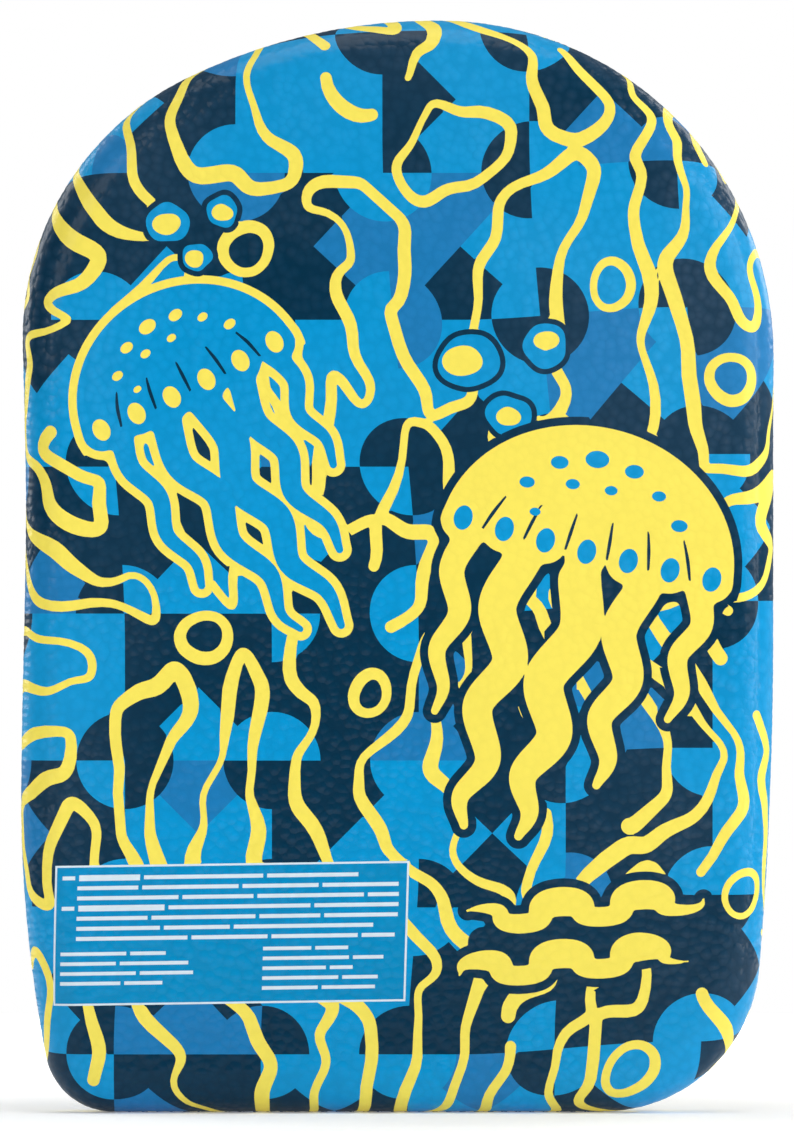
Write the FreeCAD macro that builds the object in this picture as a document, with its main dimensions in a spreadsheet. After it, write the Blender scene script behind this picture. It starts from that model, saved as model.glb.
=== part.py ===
"""Kickboard float: a moulded foam core inside a fitted two-panel cover, sewn together round its edge.

Millimetres, +Z up. The board stands on its tail with its nose up and its printed front facing -Y. The seam
lies in the plane y = 0, and the origin is under the middle of the box that the board fills.
"""

import FreeCAD, Part
import math
import os

import Sketcher

# name: (value, what it is)
SIZES = {
    "board_length": (432, "tail to nose"),
    "half_width": (149, "middle of the board to its side"),
    "board_thickness": (38, "front face to back face, over the cover"),
    "edge_radius": (17, "rounding of the front and back edges, over the cover"),
    "cover_thickness": (0.6, "printed stretch fabric with its backing film"),
    "seam_gap": (0.5, "space between the two panels that the stitches bridge"),
    "seam_recess": (0.1, "depth of the stitches below the cover's surface"),
    "crown_radius": (225, "arc across the nose"),
    "right_shoulder_radius": (132, "arc from the right side to the nose"),
    "left_shoulder_radius": (117, "arc from the nose to the left side"),
    "nose_offset": (15.5, "how far right of the board's middle its nose lies"),
    "right_flare_radius": (1600, "slow inward curve of the right side, low down"),
    "right_flare_height": (190, "where that curve starts"),
    "right_corner_radius": (62, "wide corner of the tail"),
    "left_flare_radius": (560, "slow inward curve of the left side, low down"),
    "left_flare_height": (127, "where that curve starts"),
    "left_corner_radius": (27, "tight corner of the tail"),
    "closing_left": (108, "middle of the board to the left end of the closing stitches"),
    "closing_right": (78, "middle of the board to the right end of the closing stitches"),
}

START, END, MIDDLE = 1, 2, 3  # which point of a sketch element a constraint holds
ORIGIN = (-1, START)
X_AXIS = -1
IN_PLANE = 1e-6
MM3_PER_CM3 = 1000

doc = FreeCAD.newDocument("Kickboard")


# ---------------------------------------------------------------- sizes


def make_sheet():
    """The driving dimensions, one row each: name, value, meaning."""
    sheet = doc.addObject("Spreadsheet::Sheet", "Sizes")
    for row, (name, (value, meaning)) in enumerate(SIZES.items(), start=1):
        sheet.set(f"A{row}", name)
        sheet.set(f"B{row}", str(value))
        sheet.set(f"C{row}", meaning)
        sheet.setAlias(f"B{row}", name)
    doc.recompute()
    return sheet


sizes = make_sheet()


def value(name):
    return float(getattr(sizes, name))


# ---------------------------------------------------------------- outline


def add_arc(sketch, centre, radius, start_angle, end_angle):
    circle = Part.Circle(FreeCAD.Vector(*centre, 0), FreeCAD.Vector(0, 0, 1), radius)
    return sketch.addGeometry(Part.ArcOfCircle(circle, start_angle, end_angle), False)


def add_line(sketch, start, end):
    segment = Part.LineSegment(FreeCAD.Vector(*start, 0), FreeCAD.Vector(*end, 0))
    return sketch.addGeometry(segment, False)


def bind(sketch, kind, points, name, less=None):
    """Add one dimension to the sketch and bind it to the size of this name, less another size if one is given."""
    number = value(name) - (value(less) if less else 0.0)
    held = sketch.addConstraint(Sketcher.Constraint(kind, *points, number))
    sketch.setExpression(f"Constraints[{held}]", f"Sizes.{name}" + (f" - Sizes.{less}" if less else ""))


def corner_centre(side, corner, flare, flare_height):
    """Centre of a tail corner whose arc runs on smoothly into the slow curve above it."""
    reach = math.sqrt((flare - corner) ** 2 - (flare_height - corner) ** 2)
    return side * (value("half_width") - flare + reach), corner


def shoulder_centre(side, shoulder, crown, crown_middle):
    """Centre of a shoulder arc that touches the board's side and runs on smoothly into the crown."""
    across = side * (value("half_width") - shoulder)
    rise = math.sqrt((crown - shoulder) ** 2 - (across - crown_middle[0]) ** 2)
    return across, crown_middle[1] + rise


def add_outline(sketch, inset=None):
    """The board's outline, a closed chain of tangent lines and arcs, drawn anticlockwise from the tail.

    inset is the name of the size by which the outline is smaller all round.
    """
    gap = value(inset) if inset else 0.0
    width, top = value("half_width"), value("board_length")
    crown, right, left = (value(n) for n in ("crown_radius", "right_shoulder_radius", "left_shoulder_radius"))
    right_flare, left_flare = value("right_flare_radius"), value("left_flare_radius")
    right_low, left_low = value("right_flare_height"), value("left_flare_height")
    right_corner, left_corner = value("right_corner_radius"), value("left_corner_radius")

    # centres of the arcs, worked out so that each arc runs smoothly into the next
    crown_middle = (value("nose_offset"), top - crown)
    right_middle = shoulder_centre(1, right, crown, crown_middle)
    left_middle = shoulder_centre(-1, left, crown, crown_middle)
    right_flare_middle = (width - right_flare, right_low)
    left_flare_middle = (left_flare - width, left_low)
    right_corner_middle = corner_centre(1, right_corner, right_flare, right_low)
    left_corner_middle = corner_centre(-1, left_corner, left_flare, left_low)

    def heading(start, end):
        return math.atan2(end[1] - start[1], end[0] - start[0])

    to_right_corner = heading(right_flare_middle, right_corner_middle)
    to_left_corner = heading(left_flare_middle, left_corner_middle) % (2 * math.pi)
    to_right_shoulder = heading(crown_middle, right_middle)
    to_left_shoulder = heading(crown_middle, left_middle)
    half_turn, three_quarters = math.pi, 1.5 * math.pi

    tail = add_line(sketch, (left_corner_middle[0], gap), (right_corner_middle[0], gap))
    arc_corner_right = add_arc(
        sketch, right_corner_middle, right_corner - gap, -math.pi / 2, to_right_corner
    )
    arc_flare_right = add_arc(sketch, right_flare_middle, right_flare - gap, to_right_corner, 0)
    side_right = add_line(sketch, (width - gap, right_low), (width - gap, right_middle[1]))
    arc_right = add_arc(sketch, right_middle, right - gap, 0, to_right_shoulder)
    arc_crown = add_arc(sketch, crown_middle, crown - gap, to_right_shoulder, to_left_shoulder)
    arc_left = add_arc(sketch, left_middle, left - gap, to_left_shoulder, half_turn)
    side_left = add_line(sketch, (gap - width, left_middle[1]), (gap - width, left_low))
    arc_flare_left = add_arc(sketch, left_flare_middle, left_flare - gap, half_turn, to_left_corner)
    arc_corner_left = add_arc(
        sketch, left_corner_middle, left_corner - gap, to_left_corner, three_quarters
    )

    chain = [tail, arc_corner_right, arc_flare_right, side_right, arc_right]
    chain += [arc_crown, arc_left, side_left, arc_flare_left, arc_corner_left]
    for first, second in zip(chain, chain[1:] + chain[:1]):
        sketch.addConstraint(Sketcher.Constraint("Tangent", first, END, second, START))

    sketch.addConstraint(Sketcher.Constraint("Horizontal", tail))
    sketch.addConstraint(Sketcher.Constraint("Vertical", side_right))
    sketch.addConstraint(Sketcher.Constraint("Vertical", side_left))
    if inset:
        bind(sketch, "DistanceY", (*ORIGIN, tail, START), inset)
    else:
        sketch.addConstraint(Sketcher.Constraint("PointOnObject", tail, START, X_AXIS))
    bind(sketch, "DistanceX", (*ORIGIN, side_right, START), "half_width", inset)
    bind(sketch, "DistanceX", (side_left, START, *ORIGIN), "half_width", inset)
    bind(sketch, "DistanceY", (*ORIGIN, side_right, START), "right_flare_height")
    bind(sketch, "DistanceY", (*ORIGIN, side_left, END), "left_flare_height")
    bind(sketch, "DistanceX", (*ORIGIN, arc_crown, MIDDLE), "nose_offset")
    bind(sketch, "DistanceY", (*ORIGIN, arc_crown, MIDDLE), "board_length", "crown_radius")
    radii = {
        arc_corner_right: "right_corner_radius",
        arc_flare_right: "right_flare_radius",
        arc_right: "right_shoulder_radius",
        arc_crown: "crown_radius",
        arc_left: "left_shoulder_radius",
        arc_flare_left: "left_flare_radius",
        arc_corner_left: "left_corner_radius",
    }
    for arc, name in radii.items():
        bind(sketch, "Radius", (arc,), name, inset)


def add_closing_strip(sketch):
    """A rectangle along the tail, over the stretch that is sewn last."""
    left, right = -value("closing_left"), value("closing_right")
    low, high = value("seam_recess"), value("cover_thickness")
    corners = [(left, low), (right, low), (right, high), (left, high)]
    bottom, side_right, top, side_left = (
        add_line(sketch, start, end) for start, end in zip(corners, corners[1:] + corners[:1])
    )
    for first, second in ((bottom, side_right), (side_right, top), (top, side_left), (side_left, bottom)):
        sketch.addConstraint(Sketcher.Constraint("Coincident", first, END, second, START))
    for edge in (bottom, top):
        sketch.addConstraint(Sketcher.Constraint("Horizontal", edge))
    for edge in (side_right, side_left):
        sketch.addConstraint(Sketcher.Constraint("Vertical", edge))
    bind(sketch, "DistanceX", (bottom, START, *ORIGIN), "closing_left")
    bind(sketch, "DistanceX", (*ORIGIN, bottom, END), "closing_right")
    bind(sketch, "DistanceY", (*ORIGIN, bottom, START), "seam_recess")
    bind(sketch, "DistanceY", (*ORIGIN, top, START), "cover_thickness")


# ---------------------------------------------------------------- features


def new_body(label):
    body = doc.addObject("PartDesign::Body", label)
    body.Label = label
    return body


def new_sketch(body, name):
    """A sketch on the body's own upright plane: its x is the board's x, its y is the board's z."""
    plane = next(f for f in body.Origin.OriginFeatures if f.Role == "XZ_Plane")
    sketch = body.newObject("Sketcher::SketchObject", name)
    sketch.AttachmentSupport = [(plane, "")]
    sketch.MapMode = "FlatFace"
    return sketch


def pad(body, sketch, length, both_ways=False, backwards=False):
    feature = body.newObject("PartDesign::Pad", f"{body.Label}_pad")
    feature.Profile = sketch
    feature.Midplane = both_ways
    feature.Reversed = backwards
    feature.setExpression("Length", length)
    doc.recompute()
    return feature


def pocket(body, sketch):
    """Cut the sketch's shape right through the body, both ways from its plane."""
    whole = body.Shape.Volume
    feature = body.newObject("PartDesign::Pocket", f"{sketch.Name}_cut")
    feature.Profile = sketch
    feature.Midplane = True
    feature.setExpression("Length", "Sizes.board_thickness")
    doc.recompute()
    if not feature.Shape.Volume < whole:
        raise RuntimeError(f"{feature.Name} cut nothing")
    return feature


def flat_faces(feature, y):
    """Names of the feature's flat faces that lie in the plane at this y."""
    names = []
    for number, face in enumerate(feature.Shape.Faces, start=1):
        box = face.BoundBox
        if box.YLength < IN_PLANE and abs(box.YMin - y) < IN_PLANE:
            names.append(f"Face{number}")
    return names


def fillet(body, base, faces, radius):
    feature = body.newObject("PartDesign::Fillet", f"{body.Label}_fillet")
    feature.Base = (base, faces)
    feature.setExpression("Radius", radius)
    doc.recompute()
    return feature


# ---------------------------------------------------------------- sub-parts


def make_foam_core():
    """The bead-foam slab, with its edges rounded so that the cover fits tight all over it."""
    body = new_body("foam_core")
    sketch = new_sketch(body, "core_outline")
    add_outline(sketch, inset="cover_thickness")
    slab = pad(body, sketch, "Sizes.board_thickness - 2 * Sizes.cover_thickness", both_ways=True)
    face = value("board_thickness") / 2 - value("cover_thickness")
    both_faces = flat_faces(slab, -face) + flat_faces(slab, face)
    fillet(body, slab, both_faces, "Sizes.edge_radius - Sizes.cover_thickness")
    return body


def make_cover(label, front):
    """One panel of the cover: a thin dish over half the core, open at the seam."""
    body = new_body(label)
    sketch = new_sketch(body, f"{label}_outline")
    add_outline(sketch)
    side = -1 if front else 1
    sketch.setExpression("AttachmentOffset.Base.z", f"{-side} * Sizes.seam_gap / 2")
    depth = "(Sizes.board_thickness - Sizes.seam_gap) / 2"
    block = pad(body, sketch, depth, backwards=not front)
    outer = flat_faces(block, side * value("board_thickness") / 2)
    rounded = fillet(body, block, outer, "Sizes.edge_radius")
    dish = body.newObject("PartDesign::Thickness", f"{label}_shell")
    dish.Base = (rounded, flat_faces(rounded, side * value("seam_gap") / 2))
    dish.setExpression("Value", "Sizes.cover_thickness")
    dish.Reversed = True
    dish.Join = "Intersection"
    doc.recompute()
    return body


def make_seam_thread():
    """The machine stitches that join the panels round the nose and sides, as one strip in the seam."""
    body = new_body("seam_thread")
    outer = new_sketch(body, "seam_outside")
    add_outline(outer, inset="seam_recess")
    pad(body, outer, "Sizes.seam_gap", both_ways=True)
    inner = new_sketch(body, "seam_inside")
    add_outline(inner, inset="cover_thickness")
    pocket(body, inner)
    opening = new_sketch(body, "tail_opening")
    add_closing_strip(opening)
    pocket(body, opening)
    return body


def make_closing_thread():
    """The stitches along the tail, sewn last, after the core has gone in."""
    body = new_body("closing_thread")
    sketch = new_sketch(body, "closing_outline")
    add_closing_strip(sketch)
    pad(body, sketch, "Sizes.seam_gap", both_ways=True)
    return body


def check(parts):
    for thing in doc.Objects:
        if "Invalid" in thing.State or "Error" in thing.State:
            raise RuntimeError(f"{thing.Label} failed: {thing.State}")
    for part in parts:
        if part.Shape.isNull() or not part.Shape.isValid():
            raise RuntimeError(f"{part.Label} has no valid shape")


def write(parts):
    os.makedirs("parts", exist_ok=True)
    for part in parts:
        part.Shape.exportStep(f"parts/{part.Label}.step")
        box = part.Shape.optimalBoundingBox()
        volume = part.Shape.Volume / MM3_PER_CM3
        print(f"{part.Label}: {box.XLength:.1f} x {box.YLength:.1f} x {box.ZLength:.1f} mm, {volume:.2f} cm3")


parts = [
    make_foam_core(),
    make_cover("front_cover", front=True),
    make_cover("back_cover", front=False),
    make_seam_thread(),
    make_closing_thread(),
]
doc.recompute()
check(parts)
write(parts)
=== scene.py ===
"""Looks of the kickboard float: two printed cover panels over a foam core, stitched together round the edge.

The board stands on its tail with its printed front facing -Y. Lengths are in millimetres until a mesh is
made, and metres from there on. "Layout" means the flat, unrolled cloth of one panel: inside the rounded edge
it lies over the board's face, and outside it wraps round the edge, down to the seam.
"""

import collections
import math

import bpy
import mathutils
import numpy as np
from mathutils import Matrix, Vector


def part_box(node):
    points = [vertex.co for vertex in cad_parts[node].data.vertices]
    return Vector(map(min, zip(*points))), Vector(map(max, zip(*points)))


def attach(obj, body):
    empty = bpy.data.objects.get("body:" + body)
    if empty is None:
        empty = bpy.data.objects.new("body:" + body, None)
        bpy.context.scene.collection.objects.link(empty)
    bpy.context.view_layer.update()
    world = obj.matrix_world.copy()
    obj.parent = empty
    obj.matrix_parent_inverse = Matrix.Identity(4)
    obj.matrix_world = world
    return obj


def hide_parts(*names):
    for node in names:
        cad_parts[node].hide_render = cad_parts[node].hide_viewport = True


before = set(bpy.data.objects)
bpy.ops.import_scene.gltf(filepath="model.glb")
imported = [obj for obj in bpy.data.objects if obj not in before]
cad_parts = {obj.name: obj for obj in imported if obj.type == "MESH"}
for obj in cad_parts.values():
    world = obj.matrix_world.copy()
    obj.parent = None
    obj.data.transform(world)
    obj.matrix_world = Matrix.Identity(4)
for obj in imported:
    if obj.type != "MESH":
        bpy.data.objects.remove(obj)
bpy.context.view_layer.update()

MM = 0.001
TURN = 2 * math.pi


# ---------------------------------------------------------------- sizes, from the frame and the CAD outline

low, high = (np.array(corner) / MM for corner in (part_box("front_cover")[0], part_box("back_cover")[1]))
HALF_WIDTH = (high[0] - low[0]) / 2
LENGTH = high[2] - low[2]
HALF_THICKNESS = (high[1] - low[1]) / 2
SEAM_GAP = (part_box("back_cover")[0][1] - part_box("front_cover")[1][1]) / MM
COVER = (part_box("foam_core")[0][1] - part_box("front_cover")[0][1]) / MM
EDGE_RADIUS = 17.0
SEAM_RECESS = 0.1  # the CAD thread lies this far inside the outline
CROWN, NOSE_OFFSET = 225.0, 15.5
SHOULDERS = {1: 132.0, -1: 117.0}  # radius on the right and on the left
FLARES = {1: (1600.0, 190.0), -1: (560.0, 127.0)}  # radius, and the height where it starts
CORNERS = {1: 62.0, -1: 27.0}

QUARTER = EDGE_RADIUS * math.pi / 2
REACH = QUARTER + HALF_THICKNESS - EDGE_RADIUS - SEAM_GAP / 2  # cloth from the flat face to the seam


# ---------------------------------------------------------------- the board's outline


def chain():
    """The outline as (centre, radius, start angle, sweep) arcs, anticlockwise from the tail's right end.

    Straight sides are the gaps between one arc's end and the next one's start.
    """
    crown = np.array([NOSE_OFFSET, LENGTH - CROWN])
    quarter = math.pi / 2
    found = {}
    for side in (1, -1):
        flare, height = FLARES[side]
        corner, shoulder = CORNERS[side], SHOULDERS[side]
        flare_middle = np.array([side * (HALF_WIDTH - flare), height])
        across = flare_middle[0] + side * math.sqrt((flare - corner) ** 2 - (height - corner) ** 2)
        tilt = math.asin((height - corner) / (flare - corner))
        inward = side * (HALF_WIDTH - shoulder)
        rise = math.sqrt((CROWN - shoulder) ** 2 - (inward - crown[0]) ** 2)
        lean = math.atan2(rise, side * (inward - crown[0]))
        found[side] = [
            (np.array([across, corner]), corner, -quarter, quarter - tilt),
            (flare_middle, flare, -tilt, tilt),
            (np.array([inward, crown[1] + rise]), shoulder, 0.0, lean),
        ]
    right, left = found[1], found[-1]
    over = (crown, CROWN, right[-1][3], math.pi - left[-1][3] - right[-1][3])
    mirrored = [
        (middle, size, math.pi - (start + sweep), sweep) for middle, size, start, sweep in reversed(left)
    ]
    return right + [over] + mirrored


def elements():
    """The arcs and the straight runs between them, each with where it starts along the outline."""
    arcs, found, along = chain(), [], 0.0

    def point(arc, angle):
        return arc[0] + arc[1] * np.array([math.cos(angle), math.sin(angle)])

    for arc, following in zip(arcs, arcs[1:] + arcs[:1]):
        found.append(("arc", *arc, along))
        along += arc[1] * arc[3]
        end, start = point(arc, arc[2] + arc[3]), point(following, following[2])
        run = np.linalg.norm(start - end)
        if run > 0.01:
            found.append(("line", end, (start - end) / run, run, 0.0, along))
            along += run
    return found, along


ELEMENTS, PERIMETER = elements()


def locate(points, inset=EDGE_RADIUS):
    """Where each point lies against the outline moved in by inset: foot, outward normal, distance out, s."""
    best = np.full(len(points), -1e9)
    foot, normal = points.copy(), np.zeros_like(points)
    along = np.zeros(len(points))
    for kind, place, size, start, sweep, begins in ELEMENTS:
        away = points - place
        if kind == "arc":
            angle = (np.arctan2(away[:, 1], away[:, 0]) - start) % TURN
            angle = np.where(angle > TURN - 1e-9, 0.0, angle)
            far = np.hypot(away[:, 0], away[:, 1])
            out = far - (size - inset)
            out_normal = away / np.maximum(far, 1e-9)[:, None]
            near = (angle <= sweep + 1e-9) & (far > 1e-6)
            s = begins + angle * size
            where = place + out_normal * (size - inset)
        else:
            outward = np.array([size[1], -size[0]])
            reach = away @ size
            out = away @ outward + inset
            near = (reach >= 0) & (reach <= start)
            out_normal = np.broadcast_to(outward, points.shape)
            s = begins + reach
            where = points - out[:, None] * outward
        take = near & (out > best)
        for kept, new in ((best, out), (foot, where), (normal, out_normal), (along, s)):
            kept[take] = new[take]
    return foot, normal, best, along


def outline_point(s, out):
    """Layout points at this place along the outline and this far out from the flat face."""
    points = np.zeros((len(s), 2))
    for kind, place, size, start, sweep, begins in ELEMENTS:
        if kind == "arc":
            mine = (s >= begins) & (s < begins + size * sweep)
            angle = start + (s[mine] - begins) / size
            reach = size - EDGE_RADIUS + out[mine]
            points[mine] = place + np.stack([np.cos(angle), np.sin(angle)], 1) * reach[:, None]
        else:
            mine = (s >= begins) & (s < begins + start)
            outward = np.array([size[1], -size[0]])
            along = place + (s[mine] - begins)[:, None] * size
            points[mine] = along + outward * (out[mine] - EDGE_RADIUS)[:, None]
    return points


# ---------------------------------------------------------------- the shape of the stretched cloth

STITCH = 3.4  # from one stitch to the next
STITCHES = round(PERIMETER / STITCH)


def smooth(x):
    x = np.clip(x, 0, 1)
    return x * x * (3 - 2 * x)


def ripple(s, waves, seed):
    """A smooth, repeatable unevenness along the outline, between about -1 and 1."""
    total = np.zeros_like(s)
    for k in range(4):
        turns = waves + 7 * k + seed % 5
        total += np.sin(TURN * turns * s / PERIMETER + 1.7 * k + 2.3 * seed) / (1 + 0.6 * k)
    return total / 2.2


WAIST_DEPTH, WAIST_HEIGHT, WAIST_REACH = 2.1, 235.0, 70.0  # the left side is drawn in a little here
WAIST_AT = locate(np.array([[-HALF_WIDTH, WAIST_HEIGHT]]))[3][0]
FADE_FROM, FADE_OVER = -7.0, 12.0  # nothing stands off the flat face further in than this


def stand_off(s, out, seed):
    """How far the cloth stands off the plain rounded shape: puckers, a slow swell, and the waist."""
    from_seam = REACH - out
    phase = math.pi * (STITCHES * s / PERIMETER + 0.25 * ripple(s, 60, seed))
    pleat = np.abs(np.sin(phase)) ** 0.8 - 0.35
    gather = 0.2 + 0.1 * ripple(s, 17, seed + 1)
    long_pleat = np.abs(np.sin(phase / 3 + 0.6 * ripple(s, 31, seed + 2))) - 0.4
    puckers = gather * pleat * np.exp(-from_seam / 3.4) + 0.11 * long_pleat * np.exp(-from_seam / 9.0)
    rolled = -0.3 * np.clip(1 - from_seam / 1.1, 0, 1) ** 2
    swell = 0.09 * ripple(s, 5, seed + 3) * np.clip(1 + (out - 8) / 40, 0, 1) ** 2
    fade = smooth((out - FADE_FROM) / FADE_OVER)
    turn = np.clip(out, 0, QUARTER) / EDGE_RADIUS
    waist = -WAIST_DEPTH * np.exp(-(((s - WAIST_AT) / WAIST_REACH) ** 2)) * np.sin(turn) ** 2
    return np.where(out > FADE_FROM, (puckers + rolled + swell) * fade + waist, 0.0)


def wrap(points, side, sink=0.0):
    """Layout points to places on the board. side is -1 for the front and 1 for the back."""
    foot, normal, out, s = locate(points)
    turn = np.clip(out, 0, QUARTER) / EDGE_RADIUS
    band = np.clip(out - QUARTER, 0, None)
    radial = EDGE_RADIUS * np.sin(turn)
    flat = np.where((out > 0)[:, None], foot + normal * radial[:, None], points)
    depth = HALF_THICKNESS - EDGE_RADIUS * (1 - np.cos(turn)) - band
    lift = stand_off(s, out, 3 + side) - sink
    outward = normal * np.sin(turn)[:, None]
    flat = flat + outward * lift[:, None]
    depth = depth + np.cos(turn) * lift
    return np.stack([flat[:, 0], side * depth, flat[:, 1]], 1)


def wrap_normals(points, side):
    """Which way the wrapped cloth faces at each point."""
    step = 0.04
    here = wrap(points, side)
    across = wrap(points + [step, 0], side) - here
    up = wrap(points + [0, step], side) - here
    normals = np.cross(across, up)
    return -side * normals / np.linalg.norm(normals, axis=1)[:, None]


# ---------------------------------------------------------------- inks

LIGHT, MID, NAVY, YELLOW, WHITE, PANEL_BLUE, LINING = range(7)
INKS = {  # name, colour, the paler colour of its painted sheen and of ink thinned round the edge, and how uneven it is
    LIGHT: ("ink_light_blue", (0.0, 0.295, 0.63), (0.16, 0.48, 0.78), 0.8),
    MID: ("ink_mid_blue", (0.010, 0.193, 0.466), (0.16, 0.34, 0.60), 0.8),
    NAVY: ("ink_navy", (0.0, 0.031, 0.070), (0.10, 0.145, 0.21), 1.4),
    YELLOW: ("ink_yellow", (0.93, 0.78, 0.113), (0.95, 0.84, 0.30), 0.3),
    WHITE: ("ink_white", (0.66, 0.78, 0.86), (0.7, 0.8, 0.86), 0.3),
    PANEL_BLUE: ("ink_panel_blue", (0.0, 0.26, 0.54), (0.1, 0.35, 0.62), 0.8),
}
LETTERS = {"L": LIGHT, "M": MID, "N": NAVY}


# ---------------------------------------------------------------- patchwork under the drawing

PATCHES_ACROSS, PATCHES_UP, PITCH = 6, 9, 58.0
COLUMN_LINES = PITCH * (np.arange(PATCHES_ACROSS + 1) - 3.1)
ROW_LINES = PITCH * (PATCHES_UP - 0.6 - np.arange(PATCHES_UP + 1))
DISC = 19.2  # the radius of the discs, which sit where four patches meet
PATCH_STEP = 2.4  # the longest step on the patchwork's lines
PATCHWORK_SEED = 8

# a patch is four triangles, clockwise from the top one
PATCH_KINDS = ["LLLL", "NNNN", "NLNL", "NNLN", "LLNL", "NNLL", "LLML", "LNMM", "NNMN"]
# a disc is four quarters, clockwise from the upper left one
DISC_KINDS = ["LNLN", "NNLL", "NLMN", "MMLL", "LNNL", "MNLN", "LLLN", "NLNN", "LMML"]


def shuffled(kinds, rows, columns, random):
    """A table of kinds picked at random, each turned by some quarter turns."""
    table = np.zeros((rows, columns, 4), int)
    for row in range(rows):
        for column in range(columns):
            kind = [LETTERS[letter] for letter in kinds[random.integers(len(kinds))]]
            table[row, column] = np.roll(kind, random.integers(4))
    return table


shuffler = np.random.default_rng(PATCHWORK_SEED)
PATCH_INKS = shuffled(PATCH_KINDS, PATCHES_UP, PATCHES_ACROSS, shuffler)
DISC_INKS = shuffled(DISC_KINDS, PATCHES_UP + 1, PATCHES_ACROSS + 1, shuffler)


# how far the print wanders, where it starts to, and over what distance
DRIFTS = [(14.4, 388, 205), (-4.4, 100, 75)]
CLIMB, CLIMB_FROM, CLIMB_OVER = 5.0, 25, 85


def drift(z):
    """The print wanders sideways as it runs down the cloth."""
    return sum(aside * smooth((start - z) / over) for aside, start, over in DRIFTS)


def climb(x):
    """The print climbs a little towards its right side."""
    return CLIMB * smooth((x - CLIMB_FROM) / CLIMB_OVER)


def printed(points):
    """Pattern points to where the print puts them on the cloth."""
    shifted = points + np.stack([drift(points[:, 1]), np.zeros(len(points))], 1)
    return shifted + np.stack([np.zeros(len(points)), climb(shifted[:, 0])], 1)


def patch_ink(points):
    """The patchwork's ink at each point."""
    x, z = points[:, 0], points[:, 1] - climb(points[:, 0])
    x = x - drift(z)
    column = np.clip(np.searchsorted(COLUMN_LINES, x) - 1, 0, len(COLUMN_LINES) - 2)
    row = np.clip(np.searchsorted(-ROW_LINES, -z) - 1, 0, len(ROW_LINES) - 2)
    across = (x - COLUMN_LINES[column]) / PITCH - 0.5
    up = (z - ROW_LINES[row + 1]) / PITCH - 0.5
    triangle = np.where(np.abs(up) > np.abs(across), np.where(up > 0, 0, 2), np.where(across > 0, 1, 3))
    disc_column, disc_row = column + (across > 0), row + (up < 0)
    from_disc = np.stack([x - COLUMN_LINES[disc_column], z - ROW_LINES[disc_row]])
    right, above = from_disc > 0
    quarter = np.where(above, right, 3 - right)
    in_disc = np.hypot(*from_disc) < DISC
    return np.where(in_disc, DISC_INKS[disc_row, disc_column, quarter], PATCH_INKS[row, column, triangle])


def patch_lines():
    """Every line of the patchwork, as runs of points in the pattern's own frame."""
    rows, columns = list(zip(ROW_LINES, ROW_LINES[1:])), list(zip(COLUMN_LINES, COLUMN_LINES[1:]))
    ends = [((x, top), (x, bottom)) for x in COLUMN_LINES for top, bottom in rows]
    ends += [((left, z), (right, z)) for z in ROW_LINES for left, right in columns]
    for top, bottom in rows:
        for left, right in columns:
            ends += [((left, top), (right, bottom)), ((left, bottom), (right, top))]
    for start, end in ends:
        yield np.linspace(start, end, int(math.dist(start, end) / PATCH_STEP) + 1)
    ring = np.linspace(0, TURN, 57)
    for x in COLUMN_LINES:
        for z in ROW_LINES:
            yield np.stack([x + DISC * np.cos(ring), z + DISC * np.sin(ring)], 1)


# ---------------------------------------------------------------- drawing on the patchwork

FRONT_SEED, BACK_SEED = 130, 150
FROND_WAVES = (30.0, 56.0)  # from one frond to the next but one, in the tightest and the loosest places
FROND_LEAN = 0.15
SWAY, SWAY_WAVES = (10, 14), (120, 200)  # sideways and upwards, and the shortest and longest waves of it
SHAKE, SHAKE_WAVES = (1.3, 1.3), (18, 34)
FROND_WIDTH, FROND_UNEVEN, WIDTH_WAVES = 4.4, 0.24, (40, 80)
BREAK_ABOVE, BREAK_WAVES = 1.5, (70, 120)  # a frond breaks off where a swell of these waves is above this
SHORTEST_FROND = 40.0
SHORTEST_PIECE = 16.0  # of a frond that breaks off
RING_ROOM = 12.0  # the fronds are pushed about this far off the rings

# rings: x, z, half width, half height, thickness, tilt in degrees
RINGS = [
    (-59.5, 341, 9.3, 8.8, 4.4, 20),
    (84.8, 327, 7.2, 9.6, 3.4, 0),
    (132, 290, 8.5, 8.7, 4.2, -30),
    (-76, 188, 9.3, 8.6, 4.6, 25),
    (-10.5, 165.5, 6.5, 7.8, 4.2, -25),
    (137, 86.5, 7.3, 8.8, 2.9, -25),
    (92, 17, 8.2, 11.4, 3.9, -38),
]
# bubbles: x, z, half width and half height, then the same four for the light spot in each
BUBBLES = [
    ((28.5, 297, 12.3, 10.3), (25.8, 297, 8.0, 6.0)),
    ((58.5, 303, 8.5, 9.0), (59, 305, 5.0, 3.8)),
    ((44, 275.5, 9.3, 7.5), (44, 275, 4.9, 3.7)),
    ((-90.5, 351.5, 8.7, 7.7), (-91, 351, 5.7, 4.2)),
    ((-69, 356, 6.0, 6.3), (-69, 355.5, 4.3, 3.3)),
    ((-79, 338, 6.0, 5.3), (-80, 337.3, 3.7, 3.5)),
]


def spline(points, step=1.1, closed=False):
    """A smooth curve through the points, evenly sampled. Columns after the first two are carried along."""
    points = np.array(points, float)
    padded = np.vstack([points[-1], points, points[:2]]) if closed else np.vstack([
        2 * points[0] - points[1], points, 2 * points[-1] - points[-2]
    ])
    found = []
    for a, b, c, d in zip(padded, padded[1:], padded[2:], padded[3:]):
        count = max(2, int(np.hypot(*(c - b)[:2]) / step) + 1)
        t = np.linspace(0, 1, count, endpoint=False)[:, None]
        bend, twist = 2 * a - 5 * b + 4 * c - d, 3 * b - a - 3 * c + d
        found.append(0.5 * (2 * b + (c - a) * t + bend * t**2 + twist * t**3))
    found.append(padded[-2][None] if not closed else points[:1])
    return np.vstack(found)


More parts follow.
